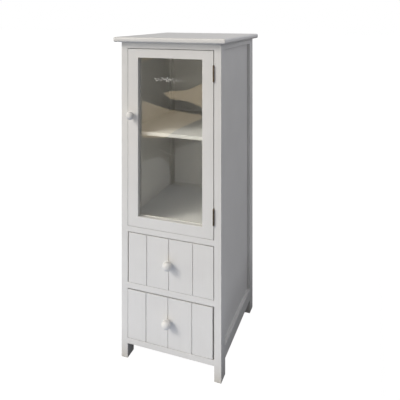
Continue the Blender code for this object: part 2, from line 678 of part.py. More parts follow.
def make_drawer(shop, name, opening, gaps):
    """One drawer. opening is its (bottom, top), gaps are left, right, under and over."""
    left, right, under, over = gaps
    shop.start_body(f"{name}_slide", (0.0, FRONT, opening[0]))
    x = (-INNER + left, INNER - right)
    z = (opening[0] + under, opening[1] - over)
    bottom = opening[0] + DRAWER_UNDER_GAP
    front = make_drawer_front(shop, f"{name}_front", x, z, bottom + DRAWER_BOTTOM_LIFT)
    make_drawer_box(shop, name, x, bottom)
    place = (sum(x) / 2 - MIDDLE_ASIDE, FRONT, sum(opening) / 2 + DRAWER_KNOB_RISE)
    drill_for_knob(shop, front, place, DRAWER_FRONT_THICKNESS)
    make_knob(shop, f"{name}_knob", DRAWER_KNOB_RADIUS, DRAWER_KNOB_REACH, place)
    make_knob_screw(shop, f"{name}_knob_screw", place, DRAWER_FRONT_THICKNESS)


def make_drawers(shop):
    """Two drawers. The lower one hangs a little to the left in its opening."""
    upper = (UPPER_OPENING_Z, UPPER_OPENING_Z + UPPER_OPENING_HEIGHT)
    lower = (LOWER_OPENING_Z, LOWER_OPENING_Z + LOWER_OPENING_HEIGHT)
    make_drawer(shop, "upper_drawer", upper, UPPER_DRAWER_GAPS)
    make_drawer(shop, "lower_drawer", lower, LOWER_DRAWER_GAPS)


# ---- the cabinet -------------------------------------------------------------
def make_carcass(shop):
    """Everything that stands still."""
    grooves = panel_grooves(shop)
    make_legs(shop, grooves)
    make_front_rails(shop)
    make_side_frames(shop, grooves)
    make_back(shop, grooves)
    make_top_board(shop)
    make_cupboard_inside(shop)
    make_runners(shop)
    make_catch(shop)
    make_fixed_hinge_parts(shop)


def main():
    clear_scene()
    shop = Workshop()
    make_carcass(shop)
    make_door(shop)
    make_drawers(shop)


main()
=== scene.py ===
import json
import math
import random

import bmesh
import bpy
from mathutils import Matrix, Vector


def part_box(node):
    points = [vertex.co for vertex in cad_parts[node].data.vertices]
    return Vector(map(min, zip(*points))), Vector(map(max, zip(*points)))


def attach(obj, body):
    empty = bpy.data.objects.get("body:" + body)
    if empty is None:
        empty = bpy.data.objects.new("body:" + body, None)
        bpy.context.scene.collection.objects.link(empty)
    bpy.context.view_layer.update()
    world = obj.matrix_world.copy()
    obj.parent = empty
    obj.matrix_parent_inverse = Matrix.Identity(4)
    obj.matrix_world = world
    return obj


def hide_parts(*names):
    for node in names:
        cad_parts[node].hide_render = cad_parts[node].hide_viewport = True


MM = 0.001

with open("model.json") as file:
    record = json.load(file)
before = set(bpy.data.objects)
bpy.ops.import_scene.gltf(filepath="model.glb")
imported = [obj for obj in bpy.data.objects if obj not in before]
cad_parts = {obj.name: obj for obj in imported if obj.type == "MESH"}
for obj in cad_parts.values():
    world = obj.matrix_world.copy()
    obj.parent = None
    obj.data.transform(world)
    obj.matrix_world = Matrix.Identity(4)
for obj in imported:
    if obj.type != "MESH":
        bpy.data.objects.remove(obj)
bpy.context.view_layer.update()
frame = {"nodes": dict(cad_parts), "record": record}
NODES = frame["nodes"]

# ---- places read from the cabinet ------------------------------------------------
FACE_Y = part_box("front_rail_middle")[0].y
GLASS_LOW, GLASS_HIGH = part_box("door_glass")
DRAWER_BACK_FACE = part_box("upper_drawer_front")[1].y
DOOR_BACK_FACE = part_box("door_stile_left")[1].y

# ---- sizes of the camera, light and floor ----------------------------------------
CAMERA_ASIDE = 0.5766          # right of the cabinet's middle
CAMERA_AHEAD = 1.3175          # in front of its face
CAMERA_HEIGHT = 1.0779
CAMERA_TURN = math.radians(19.93)
CAMERA_LENS_MM = 42.44
CAMERA_FILM_MM = 36.0
CAMERA_FALL = -0.4617          # the level camera sees what is below it through this shift
CAMERA_REACH = 60.0            # it sees the floor to its edge

LAMP_COLOUR = "#FFFAF3"
KEY_DIRECTION = Vector((-1.0, -0.92, 1.0)).normalized()    # towards the lamp
KEY_STRENGTH = 1.35
KEY_SOFTNESS = math.radians(20)
SOFT_DIRECTION = Vector((-0.60, -0.78, 0.06)).normalized()
SOFT_STRENGTH = 2.2
SOFT_SOFTNESS = math.radians(86)

FILL_COLOUR = "#F4F5FB"
FILL_TOWARDS = Vector((0.66, 0.74, -0.34)).normalized()    # where the room is brightest
FILL_SPAN = (-0.7, 0.9)        # cosines to it, from where the room is darkest to where it is brightest
FILL_DARK = 0.10               # room light from the front
FILL_BRIGHT = 1.05             # room light from the right and behind

FLOOR_HALF = 25.0
FLOOR_GLOW = 1.0
FLOOR_PAPER = ((-1.3, -1.9), (0.45, -0.235))           # near left and far right corners
FLOOR_PAPER_HEIGHT = 1.0 * MM
FLOOR_PAPER_COLOUR = "#DAE5FB"
FLOOR_PAPER_STRENGTH = 0.74
FLAG_SIZE = ((0.60, -0.30, 0.0), (0.62, 0.90, 0.22))   # low and high corners, at the right

# What the pane mirrors: each card's name, colour, strength and outline. An outline is where the card shows
# on the pane, in mm from the cabinet's middle and from the floor.
CARD_AHEAD = 0.45              # the cards stand this far in front of the pane
CARDS = (
    ("warm_band", "#FFE6BC", 3.9,
     ((-26, 837), (-2, 845), (55, 851), (114, 882), (114, 797), (52, 818), (-5, 822))),
    ("warm_wall", "#FFE6BC", 3.1,
     ((-116, 814), (-56, 800), (-7, 788), (60, 782), (114, 776), (20, 729), (-20, 700), (-116, 690))),
    ("warm_corner", "#FFE6BC", 1.6,
     ((-116, 946), (-52, 945), (-116, 926))),
    ("dim_corner", "#FBF3DF", 0.9,
     ((-20, 948), (114, 948), (114, 886), (60, 855), (6, 850))),
    ("pale_right", "#FAF8F2", 1.3,
     ((15, 669), (62, 689), (114, 706), (114, 548), (50, 556), (12, 562), (12, 640))),
    ("pale_left", "#FAFBFA", 1.3,
     ((-116, 612), (-80, 625), (-43, 641), (-5, 621), (-5, 556), (-60, 508), (-116, 466))),
    ("pale_floor", "#EEF4FF", 1.0,
     ((-116, 466), (-60, 508), (-5, 556), (50, 556), (114, 548), (114, 440), (-116, 440))),
    ("pale_line", "#FFFFFF", 2.2,
     ((-37, 662), (-18, 656), (4, 650), (30, 647), (30, 645), (4, 647), (-18, 652), (-37, 659))),
)

# ---- sizes of the finer pieces ---------------------------------------------------
SMOOTH_BELOW = math.radians(38)    # faces that meet at less than this are shaded as one
SAME_POINT = 0.001 * MM
KNOB_STEPS, HINGE_STEPS, HEAD_STEPS, SHANK_STEPS, BRAD_STEPS = 96, 48, 48, 32, 24    # round a full turn
BOARD_SOFT = 0.7 * MM          # every _SOFT is the radius of a rounded edge
BOARD_REACH = 1.0 * MM         # a rail's paint closes the joint with its neighbour
GLASS_ROOM = 0.3 * MM          # between the pane and its rebate
REBATE_LAP = 1.0 * MM          # the back half of a door rail runs this far into the front half
NOSING = 5.5 * MM
NOSING_STEPS = 12

KNOB_DEPTH = 0.8               # half height of a knob's head, then its neck, foot and cove, in radii
KNOB_NECK = 0.46
KNOB_FOOT = 0.52
KNOB_COVE = 0.10
KNOB_COVE_OUT = 0.02
KNOB_HEAD_END = -58            # degrees below its widest ring, where the head turns in to the neck
KNOB_FLARE = 1.6 * MM          # height over which the neck spreads to the foot
KNOB_FLARE_RISE = 0.6 * MM     # from the base to the bottom of that curve
KNOB_RIM = 0.4 * MM            # height of the foot's upright rim
KNOB_RIM_SOFT = 0.3 * MM

CROSS_CELLS = 9                # a screw head's grid, whose middle row and column are the recess
CROSS_MARGIN = 2               # cells from the recess to the rim
CROSS_DEPTH = 0.22             # depths of the recess and of the head under its rim, in head radii
HEAD_SKIRT = 0.30
SHANK_RADIUS = 2.0 * MM
SHANK_TIP_RADIUS = 1.2 * MM
SHANK_TAPER = 1.0 * MM
SHANK_GRIP = 0.3 * MM          # the head stands this far off the board
HEAD_SOFT = 0.2 * MM
HEAD_SIDE = 0.55               # shares of a pan head's height: its side and its dome
HEAD_DOME = 0.40

KNUCKLE = 15.2 * MM            # length of each of the frame leaf's knuckles
KNUCKLE_GAP = 0.4 * MM
LEAF_GAP = 0.15 * MM           # from the pin's axis plane to each leaf
LEAF_THICKNESS = 0.7 * MM
LEAF_OFF_BARREL = 0.3 * MM
LEAF_SOFT = 0.15 * MM
BARREL_BORE_RADIUS = 1.2 * MM
BARREL_SOFT = 0.25 * MM
PIN_RADIUS = 0.9 * MM
PIN_HEAD_GAP = 0.2 * MM
HINGE_SCREW_PLACES = (0.18, 0.5, 0.82)     # shares of the leaf's height
HINGE_SCREW_RADIUS = 2.1 * MM
HINGE_SCREW_DOME = 0.05 * MM

CATCH_SOFT = 1.2 * MM
POLE_ASIDE = 2.2 * MM                      # from the catch's middle to each steel pole
POLE_HALF = (0.8 * MM, 8 * MM)             # half thickness and half height of a pole
POLE_PROUD = 0.6 * MM
POLE_SOFT = 0.2 * MM
CATCH_SCREW_RISE = 14 * MM                 # above and below the catch's middle
CATCH_SCREW_RADIUS = 2.4 * MM
CATCH_SCREW_DOME = 0.1 * MM
STRIKE_SOFT = 0.3 * MM

BRAD_PLACES = (0.15, 0.5, 0.85)            # shares of the drawer side's height
BRAD_INSET = 4.5 * MM
BRAD_RADIUS = 0.9 * MM
BRAD_DOME = 0.12 * MM
BRAD_SHANK = (0.7 * MM, 0.6 * MM)          # radius and depth

SPRIG_Z = 0.8795                           # above the floor
SPRIG_ASIDE = 12 * MM                      # its rosette stands this far left of the pane's middle
SPRIG_HALF = 40 * MM
SPRIG_STEPS = 6                            # leaves on each side
WAVE_HEIGHT = 2.5 * MM
WAVE_LENGTH = 6.0                          # radians of wave on each side
WAVE_START = 0.8                           # the right side's wave starts this far on
PRINT_OFF_GLASS = 0.04 * MM
PRINT_THICKNESS = 0.06 * MM
STEM_WIDTH = 0.5 * MM
STEM_LAP = 1.1                             # a stem oval's length, in steps
BLADE_LENGTHS = (7.0, 9.5)                 # shortest and longest leaf, in mm
BLADE_FULL, BLADE_TAPER = 1.15, 0.5        # leaves shrink from the rosette outward
BLADE_LEANS = (35, 60)                     # degrees from the stem
BLADE_WIDTH = 2.0 * MM
BLADE_OUT = 0.6                            # a leaf's middle stands this much of its length off the stem
PETALS = 5
PETAL_START = 20                           # degrees
PETAL_SIZE = (7.0 * MM, 3.0 * MM)
ROSETTE_RADIUS = 5.5 * MM

AXES = "xyz"
BOARDS_WITHOUT_TOP_SHADE = ("shelf", "cupboard_floor")     # behind the door, without the painted shade on what faces up


# ---- camera, light and floor -----------------------------------------------------
def linear(hex_colour):
    """An sRGB hex colour as linear RGBA."""
    channels = [int(hex_colour[i:i + 2], 16) / 255 for i in (1, 3, 5)]
    curve = [c / 12.92 if c <= 0.04045 else ((c + 0.055) / 1.055) ** 2.4 for c in channels]
    return (*curve, 1.0)


def add(tree, kind, settings=None, **links):
    """Add a node. settings are its properties, and links its sockets by name or number."""
    node = tree.nodes.new(kind)
    for name, value in (settings or {}).items():
        setattr(node, name, value)
    for name, value in links.items():
        key = int(name[1:]) if name[0] == "_" else name.replace("_", " ")
        socket = node.inputs[key]
        if isinstance(value, bpy.types.NodeSocket):
            tree.links.new(value, socket)
        else:
            socket.default_value = value
    return node


def make_camera():
    """A level camera at the height of the top board."""
    data = bpy.data.cameras.new("camera")
    data.lens = CAMERA_LENS_MM
    data.sensor_width = CAMERA_FILM_MM
    data.shift_y = CAMERA_FALL
    data.clip_end = CAMERA_REACH
    camera = bpy.data.objects.new("camera", data)
    camera.location = (CAMERA_ASIDE, FACE_Y - CAMERA_AHEAD, CAMERA_HEIGHT)
    camera.rotation_euler = (math.pi / 2, 0.0, CAMERA_TURN)
    bpy.context.scene.collection.objects.link(camera)
    bpy.context.scene.camera = camera


def seen_plainly(tree):
    """One where the eye looks straight or through glass, nought after any other bounce."""
    path = add(tree, "ShaderNodeLightPath").outputs
    direct = add(tree, "ShaderNodeMath", {"operation": "MAXIMUM"}, _0=path["Is Camera Ray"],
                 _1=path["Is Transmission Ray"])
    bounces = add(tree, "ShaderNodeMath", {"operation": "ADD"}, _0=path["Diffuse Depth"],
                  _1=path["Glossy Depth"])
    unbounced = add(tree, "ShaderNodeMath", {"operation": "LESS_THAN"}, _0=bounces.outputs[0], _1=0.5)
    return add(tree, "ShaderNodeMath", {"operation": "MULTIPLY"}, _0=direct.outputs[0],
               _1=unbounced.outputs[0]).outputs[0]


def make_world():
    """A white room for the eye. Its light is weaker from the front than from the right and behind."""
    world = bpy.data.worlds.new("white_room")
    world.use_nodes = True
    tree = world.node_tree
    tree.nodes.clear()
    direction = add(tree, "ShaderNodeTexCoord").outputs["Generated"]
    side = add(tree, "ShaderNodeVectorMath", {"operation": "DOT_PRODUCT"}, _0=direction,
               _1=FILL_TOWARDS)
    amount = add(tree, "ShaderNodeMapRange", {"interpolation_type": "SMOOTHSTEP"},
                 Value=side.outputs["Value"], From_Min=FILL_SPAN[0], From_Max=FILL_SPAN[1],
                 To_Min=FILL_DARK, To_Max=FILL_BRIGHT)
    seen = add(tree, "ShaderNodeBackground", Color=linear("#FFFFFF"), Strength=1.0)
    fill = add(tree, "ShaderNodeBackground", Color=linear(FILL_COLOUR), Strength=amount.outputs[0])
    mix = add(tree, "ShaderNodeMixShader", _0=seen_plainly(tree), _1=fill.outputs[0], _2=seen.outputs[0])
    add(tree, "ShaderNodeOutputWorld", Surface=mix.outputs[0])
    bpy.context.scene.world = world
    bpy.context.scene.view_settings.view_transform = "Standard"


def make_lamp(name, direction, strength, softness):
    """A distant soft lamp that shines from a direction."""
    data = bpy.data.lights.new(name, "SUN")
    data.energy = strength
    data.angle = softness
    data.color = linear(LAMP_COLOUR)[:3]
    lamp = bpy.data.objects.new(name, data)
    lamp.rotation_euler = direction.to_track_quat("Z", "Y").to_euler()
    bpy.context.scene.collection.objects.link(lamp)


def make_floor():
    """A floor that looks white and throws little light back up."""
    bm = bmesh.new()
    bmesh.ops.create_grid(bm, x_segments=1, y_segments=1, size=FLOOR_HALF)
    floor = new_object("floor", bm)
    material = bpy.data.materials.new("studio_floor")
    material.use_nodes = True
    tree = material.node_tree
    tree.nodes.clear()
    matt = add(tree, "ShaderNodeBsdfDiffuse", Color=linear("#4C4B4A"))
    glow = add(tree, "ShaderNodeEmission", Color=linear("#FFFFFF"), Strength=FLOOR_GLOW)
    seen = add(tree, "ShaderNodeAddShader", _0=matt.outputs[0], _1=glow.outputs[0])
    mix = add(tree, "ShaderNodeMixShader", _0=seen_plainly(tree), _1=matt.outputs[0], _2=seen.outputs[0])
    add(tree, "ShaderNodeOutputMaterial", Surface=mix.outputs[0])
    floor.data.materials.append(material)


def glowing(name, colour, strength):
    """A material that only glows."""
    material = bpy.data.materials.new(name)
    material.use_nodes = True
    tree = material.node_tree
    tree.nodes.clear()
    glow = add(tree, "ShaderNodeEmission", Color=linear(colour), Strength=strength)
    add(tree, "ShaderNodeOutputMaterial", Surface=glow.outputs[0])
    return material


def make_floor_light():
    """White paper on the floor in front, which lights the face from below, and a black flag beside the
    cabinet, which keeps the low part of its side dark."""
    (left, near), (right, far) = FLOOR_PAPER
    corners = ((left, near), (right, near), (right, far), (left, far))
    bm = bmesh.new()
    bm.faces.new([bm.verts.new((x, y, FLOOR_PAPER_HEIGHT)) for x, y in corners])
    paper = new_object("floor_paper", bm)
    paper.data.materials.append(glowing("floor_paper", FLOOR_PAPER_COLOUR, FLOOR_PAPER_STRENGTH))
    paper.visible_camera = False
    paper.visible_glossy = False
    paper.visible_transmission = False
    paper.visible_shadow = False
    bm = bmesh.new()
    add_box(bm, *FLAG_SIZE)
    flag = new_object("black_flag", bm)
    flag.data.materials.append(glowing("black_flag", "#000000", 0.0))
    flag.visible_camera = False
    flag.visible_glossy = False


def make_card(name, colour, strength, outline):
    """A glowing card that only shows as a reflection in the pane and the paint."""
    camera = Vector((CAMERA_ASIDE, CAMERA_HEIGHT))
    to_pane = CAMERA_AHEAD + GLASS_LOW.y - FACE_Y
    spread = (to_pane + CARD_AHEAD) / to_pane
    bm = bmesh.new()
    corners = [camera + (Vector(point) * MM - camera) * spread for point in outline]
    bm.faces.new([bm.verts.new((x, GLASS_LOW.y - CARD_AHEAD, z)) for x, z in corners])
    card = new_object(name, bm)
    card.data.materials.append(glowing(name, colour, strength))
    card.visible_camera = False
    card.visible_diffuse = False
    card.visible_transmission = False
    card.visible_shadow = False


# ---- shaping ---------------------------------------------------------------------
def new_object(name, bm, smooth=False):
    """A finished bmesh as an object."""
    mesh = bpy.data.meshes.new(name)
    bm.to_mesh(mesh)
    bm.free()
    item = bpy.data.objects.new(name, mesh)
    bpy.context.scene.collection.objects.link(item)
    if smooth:
        mesh.shade_smooth()
        mesh.set_sharp_from_angle(angle=SMOOTH_BELOW)
    return item


def once(items):
    """The items in their order, each one once."""
    return list(dict.fromkeys(items))


def add_box(bm, low, high, rounding=0.0, segments=3):
    """A box between two corners with rounded edges."""
    low, high = Vector(low), Vector(high)
    matrix = Matrix.Translation((low + high) / 2) @ Matrix.Diagonal((*(high - low), 1.0))
    made = bmesh.ops.create_cube(bm, size=1.0, matrix=matrix)["verts"]
    if rounding:
        edges = once(edge for vert in made for edge in vert.link_edges)
        bmesh.ops.bevel(bm, geom=edges, offset=rounding, segments=segments, profile=0.5,
                        affect="EDGES", material=-1)


def add_turned(bm, outline, matrix, steps, closed=False):
    """Points of (radius, height) spun about the Z axis of a matrix."""
    verts = [bm.verts.new(matrix @ Vector((radius, 0.0, height))) for radius, height in outline]
    pairs = list(zip(verts, verts[1:]))
    if closed:
        pairs.append((verts[-1], verts[0]))
    edges = [bm.edges.new(pair) for pair in pairs]
    axis = matrix.to_3x3() @ Vector((0.0, 0.0, 1.0))
    bmesh.ops.spin(bm, geom=verts + edges, cent=matrix.translation, axis=axis, angle=2 * math.pi,
                   steps=steps, use_merge=True)


def tidy(bm):
    """Merge doubled points, then turn every face outward."""
    bmesh.ops.remove_doubles(bm, verts=bm.verts, dist=SAME_POINT)
    bmesh.ops.recalc_face_normals(bm, faces=bm.faces)


def arc(middle, radii, start, end, steps):
    """Points of (radius, height) on an ellipse, between two angles in degrees."""
    angles = [math.radians(start + (end - start) * step / steps) for step in range(steps + 1)]
    return [(middle[0] + radii[0] * math.cos(a), middle[1] + radii[1] * math.sin(a)) for a in angles]


def facing(place, direction):
    """A matrix at a place whose Z axis points in a direction."""
    return Matrix.Translation(place) @ Vector(direction).to_track_quat("Z", "Y").to_matrix().to_4x4()


def add_cross_screw(bm, matrix, radius, dome):
    """A screw head with a cross recess. Its rim lies in the matrix's XY plane."""
    crown = bmesh.ops.create_grid(bm, x_segments=CROSS_CELLS, y_segments=CROSS_CELLS, size=1.0)["verts"]
    faces = once(face for vert in crown for face in vert.link_faces)
    within = range(CROSS_MARGIN, CROSS_CELLS - CROSS_MARGIN)
    cross = []
    for face in faces:
        centre = face.calc_center_median()
        column = int((centre.x + 1) / 2 * CROSS_CELLS)
        row = int((centre.y + 1) / 2 * CROSS_CELLS)
        if CROSS_CELLS // 2 in (column, row) and column in within and row in within:
            cross.append(face)
    for vert in crown:
        x, y = vert.co.x, vert.co.y
        vert.co.x = x * math.sqrt(1 - y * y / 2)
        vert.co.y = y * math.sqrt(1 - x * x / 2)
        vert.co.z = dome / radius * (1 - vert.co.x ** 2 - vert.co.y ** 2)
    rim = [edge for edge in bm.edges if edge.is_boundary and edge.verts[0] in crown]
    skirt = bmesh.ops.extrude_edge_only(bm, edges=rim)["geom"]
    low = [item for item in skirt if isinstance(item, bmesh.types.BMVert)]
    bmesh.ops.translate(bm, vec=(0, 0, -HEAD_SKIRT), verts=low)
    hem = [item for item in skirt if isinstance(item, bmesh.types.BMEdge) and item.is_boundary]
    base = bmesh.ops.holes_fill(bm, edges=hem, sides=0)["faces"]
    sunk = bmesh.ops.extrude_face_region(bm, geom=cross)["geom"]
    sunk_verts = [item for item in sunk if isinstance(item, bmesh.types.BMVert)]
    bmesh.ops.delete(bm, geom=cross, context="FACES_ONLY")
    bmesh.ops.translate(bm, vec=(0, 0, -CROSS_DEPTH), verts=sunk_verts)
    made = [vert for vert in crown + low + sunk_verts if vert.is_valid]
    made += [vert for face in base for vert in face.verts]
    size = Matrix.Diagonal((radius, radius, radius, 1.0))
    bmesh.ops.transform(bm, matrix=matrix @ size, verts=once(made))


# ---- materials -------------------------------------------------------------------
def new_material(name, roughness, metallic=0.0):
    """A material with a Principled shader: the material, its tree and the shader."""
    material = bpy.data.materials.new(name)
    material.use_nodes = True
    shader = material.node_tree.nodes["Principled BSDF"]
    shader.inputs["Roughness"].default_value = roughness
    shader.inputs["Metallic"].default_value = metallic
    return material, material.node_tree, shader


def stretched(tree, along, across_mm, along_mm):
    """Object coordinates squeezed so that a noise of scale 1 runs along one axis."""
    scale = [1 / (across_mm * MM)] * 3
    scale[along] = 1 / (along_mm * MM)
    where = add(tree, "ShaderNodeTexCoord").outputs["Object"]
    return add(tree, "ShaderNodeMapping", Vector=where, Scale=scale).outputs[0]


def satin_paint(name, along, painted_top_shade=0.85):
    """Off-white satin paint on wood: brush lines along the piece, a faint grain under them, small
    changes of tone where the coat is thicker, and painted shade that darkens what faces up. Real
    brush lines are finer, and are drawn 0.9 mm apart so that they show."""
    material, tree, shader = new_material(name, 0.42)
    bristles = add(tree, "ShaderNodeTexNoise", Vector=stretched(tree, along, 0.9, 60), Scale=1.0, Detail=4.0)
    grain = add(tree, "ShaderNodeTexNoise", Vector=stretched(tree, along, 5, 160), Scale=1.0, Detail=3.0,
                Distortion=0.6)
    where = add(tree, "ShaderNodeTexCoord").outputs
    cloud = add(tree, "ShaderNodeTexNoise", Vector=where["Object"], Scale=1 / (90 * MM), Detail=3.0)
    tone = add(tree, "ShaderNodeMapRange", Value=cloud.outputs[0], From_Min=0.3, From_Max=0.7)
    colour = add(tree, "ShaderNodeMix", {"data_type": "RGBA"}, _0=tone.outputs[0],
                 _6=linear("#E7E6E3"), _7=linear("#EBEAE7"))
    streak = add(tree, "ShaderNodeMapRange", Value=grain.outputs[0], From_Min=0.55, From_Max=0.80,
                 To_Max=0.20)
    shaded = add(tree, "ShaderNodeMix", {"data_type": "RGBA"}, _0=streak.outputs[0],
                 _6=colour.outputs[2], _7=linear("#DFDDD8"))
    upward = add(tree, "ShaderNodeSeparateXYZ", Vector=where["Normal"]).outputs["Z"]
    # Painted shade: faces that point up are mixed towards a darker grey, which stands in for less light
    # falling on them from above.
    top_shade_mask = add(tree, "ShaderNodeMapRange", Value=upward, From_Min=0.75, From_Max=0.98, To_Max=painted_top_shade)
    top_shaded_colour = add(tree, "ShaderNodeMix", {"data_type": "RGBA"}, _0=top_shade_mask.outputs[0],
                _6=shaded.outputs[2], _7=linear("#D2D1CE"))
    tree.links.new(top_shaded_colour.outputs[2], shader.inputs["Base Color"])
    gloss = add(tree, "ShaderNodeMapRange", Value=bristles.outputs[0], To_Min=0.36, To_Max=0.50)
    tree.links.new(gloss.outputs[0], shader.inputs["Roughness"])
    relief = add(tree, "ShaderNodeMath", {"operation": "ADD"}, _0=bristles.outputs[0], _1=grain.outputs[0])
    bump = add(tree, "ShaderNodeBump", Height=relief.outputs[0], Strength=0.25, Distance=0.12 * MM)
    tree.links.new(bump.outputs[0], shader.inputs["Normal"])
    return material


def clear_pane():
    """Float glass. Lamps light what stands behind it."""
    material, tree, shader = new_material("float_glass", 0.0)
    shader.inputs["Transmission Weight"].default_value = 1.0
    shader.inputs["IOR"].default_value = 1.5
    shader.inputs["Base Color"].default_value = linear("#FBFCFB")
    path = add(tree, "ShaderNodeLightPath")
    clear = add(tree, "ShaderNodeBsdfTransparent", Color=linear("#FBFCFB"))
    output = tree.nodes["Material Output"]
    mix = add(tree, "ShaderNodeMixShader", _0=path.outputs["Is Shadow Ray"], _1=shader.outputs[0],
              _2=clear.outputs[0])
    tree.links.new(mix.outputs[0], output.inputs["Surface"])
    return material


def planed_pine(name, along):
    """Bare planed pine: soft growth bands along the board and fine darker fibres."""
    material, tree, shader = new_material(name, 0.62)
    board = stretched(tree, along, 16, 260)
    bands = add(tree, "ShaderNodeTexNoise", Vector=board, Scale=1.0, Detail=2.0, Distortion=1.2)
    rings = add(tree, "ShaderNodeMath", {"operation": "PINGPONG"}, _0=bands.outputs[0], _1=0.06)
    ring = add(tree, "ShaderNodeMapRange", Value=rings.outputs[0], From_Max=0.06)
    fibres = add(tree, "ShaderNodeTexNoise", Vector=stretched(tree, along, 0.6, 30), Scale=1.0, Detail=3.0)
    pale = add(tree, "ShaderNodeMix", {"data_type": "RGBA"}, _0=ring.outputs[0],
               _6=linear("#E8D4B0"), _7=linear("#DABF92"))
    fine = add(tree, "ShaderNodeMapRange", Value=fibres.outputs[0], From_Min=0.45, From_Max=0.75, To_Max=0.5)
    colour = add(tree, "ShaderNodeMix", {"data_type": "RGBA"}, _0=fine.outputs[0], _6=pale.outputs[2],
                 _7=linear("#C8A678"))
    tree.links.new(colour.outputs[2], shader.inputs["Base Color"])
    bump = add(tree, "ShaderNodeBump", Height=fibres.outputs[0], Strength=0.3, Distance=0.15 * MM)
    tree.links.new(bump.outputs[0], shader.inputs["Normal"])
    return material


def sanded_plywood():
    """Sanded plywood: a pale face veneer with long open grain."""
    material, tree, shader = new_material("sanded_plywood", 0.66)
    face = add(tree, "ShaderNodeTexNoise", Vector=stretched(tree, 0, 22, 300), Scale=1.0, Detail=4.0,
               Distortion=0.8)
    pores = add(tree, "ShaderNodeTexNoise", Vector=stretched(tree, 0, 0.7, 14), Scale=1.0, Detail=2.0)
    veneer = add(tree, "ShaderNodeMix", {"data_type": "RGBA"}, _0=face.outputs[0], _6=linear("#DCC39B"),
                 _7=linear("#C4A273"))
    dark = add(tree, "ShaderNodeMapRange", Value=pores.outputs[0], From_Min=0.58, From_Max=0.75, To_Max=0.6)
    colour = add(tree, "ShaderNodeMix", {"data_type": "RGBA"}, _0=dark.outputs[0], _6=veneer.outputs[2],
                 _7=linear("#A98457"))
    tree.links.new(colour.outputs[2], shader.inputs["Base Color"])
    bump = add(tree, "ShaderNodeBump", Height=pores.outputs[0], Strength=0.25, Distance=0.1 * MM)
    tree.links.new(bump.outputs[0], shader.inputs["Normal"])
    return material


def antique_brass():
    """Brass with a dark antique finish, rubbed paler in patches."""
    material, tree, shader = new_material("antique_brass", 0.38, 1.0)
    where = add(tree, "ShaderNodeTexCoord").outputs["Object"]
    rubbed = add(tree, "ShaderNodeTexNoise", Vector=where, Scale=1 / (3.5 * MM), Detail=4.0)
    worn = add(tree, "ShaderNodeMapRange", Value=rubbed.outputs[0], From_Min=0.42, From_Max=0.66)
    colour = add(tree, "ShaderNodeMix", {"data_type": "RGBA"}, _0=worn.outputs[0], _6=linear("#6F6358"),
                 _7=linear("#A2907A"))
    tree.links.new(colour.outputs[2], shader.inputs["Base Color"])
    gloss = add(tree, "ShaderNodeMapRange", Value=rubbed.outputs[0], To_Min=0.30, To_Max=0.50)
    tree.links.new(gloss.outputs[0], shader.inputs["Roughness"])
    return material


def zinc_plate():
    """Bright zinc plating on steel, slightly cloudy."""
    material, tree, shader = new_material("zinc_plated_steel", 0.32, 1.0)
    where = add(tree, "ShaderNodeTexCoord").outputs["Object"]
    cloud = add(tree, "ShaderNodeTexNoise", Vector=where, Scale=1 / (2.5 * MM), Detail=3.0)
    colour = add(tree, "ShaderNodeMix", {"data_type": "RGBA"}, _0=cloud.outputs[0], _6=linear("#A9ABAD"),
                 _7=linear("#C9CACB"))
    tree.links.new(colour.outputs[2], shader.inputs["Base Color"])
    gloss = add(tree, "ShaderNodeMapRange", Value=cloud.outputs[0], To_Min=0.22, To_Max=0.42)
    tree.links.new(gloss.outputs[0], shader.inputs["Roughness"])
    return material


def moulded_plastic():
    """Matt grey moulded plastic with a spark texture, drawn coarser than it is so that it shows."""
    material, tree, shader = new_material("moulded_plastic", 0.5)
    where = add(tree, "ShaderNodeTexCoord").outputs["Object"]
    spark = add(tree, "ShaderNodeTexNoise", Vector=where, Scale=1 / (0.5 * MM), Detail=2.0)
    colour = add(tree, "ShaderNodeMix", {"data_type": "RGBA"}, _0=spark.outputs[0], _6=linear("#74726D"),
                 _7=linear("#82807A"))
    tree.links.new(colour.outputs[2], shader.inputs["Base Color"])
    bump = add(tree, "ShaderNodeBump", Height=spark.outputs[0], Strength=0.4, Distance=0.05 * MM)
    tree.links.new(bump.outputs[0], shader.inputs["Normal"])
    return material


def printed_enamel():
    """Thin white screen-printed enamel on glass, a little uneven in its cover."""
    material, tree, shader = new_material("printed_enamel", 0.45)
    where = add(tree, "ShaderNodeTexCoord").outputs["Object"]
    cover = add(tree, "ShaderNodeTexNoise", Vector=where, Scale=1 / (1.5 * MM), Detail=2.0)
    colour = add(tree, "ShaderNodeMix", {"data_type": "RGBA"}, _0=cover.outputs[0], _6=linear("#D6D4CE"),
                 _7=linear("#F0EFEA"))
    tree.links.new(colour.outputs[2], shader.inputs["Base Color"])
    return material


def make_materials():
    """Every material, by a short name."""
    # The inside paint is the same satin paint without its painted shade on what faces up.
    made = {"aged_brass": antique_brass(), "zinc_steel": zinc_plate(), "grey_plastic": moulded_plastic(),
            "clear_glass": clear_pane(), "plywood": sanded_plywood(), "print": printed_enamel(),
            "paint_without_top_shade": satin_paint("satin_paint_inside", 0, painted_top_shade=0.0)}
    for axis, letter in enumerate(AXES):
        made["white_paint_" + letter] = satin_paint("satin_paint_" + letter, axis)
        made["bare_pine_" + letter] = planed_pine("planed_pine_" + letter, axis)
    return made


def longest_axis(node):
    """The letter of the axis along which a node is longest."""
    low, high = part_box(node)
    span = high - low
    return AXES[max(range(3), key=lambda axis: span[axis])]


def dress_nodes(materials):
    """Give every CAD node the material of its slot, with the grain along the piece."""
    for entry in frame["record"]["subparts"]:
        node, slot = entry["node"], entry["material_slot"]
        item = NODES[node]
        item.data.materials.clear()
        # The shelf and cupboard floor take the paint without the painted shade on what faces up.
        if node in BOARDS_WITHOUT_TOP_SHADE:
            slot = "paint_without_top_shade"
        grain = "z" if node.endswith("drawer_front") else longest_axis(node)
        item.data.materials.append(materials.get(slot) or materials[f"{slot}_{grain}"])


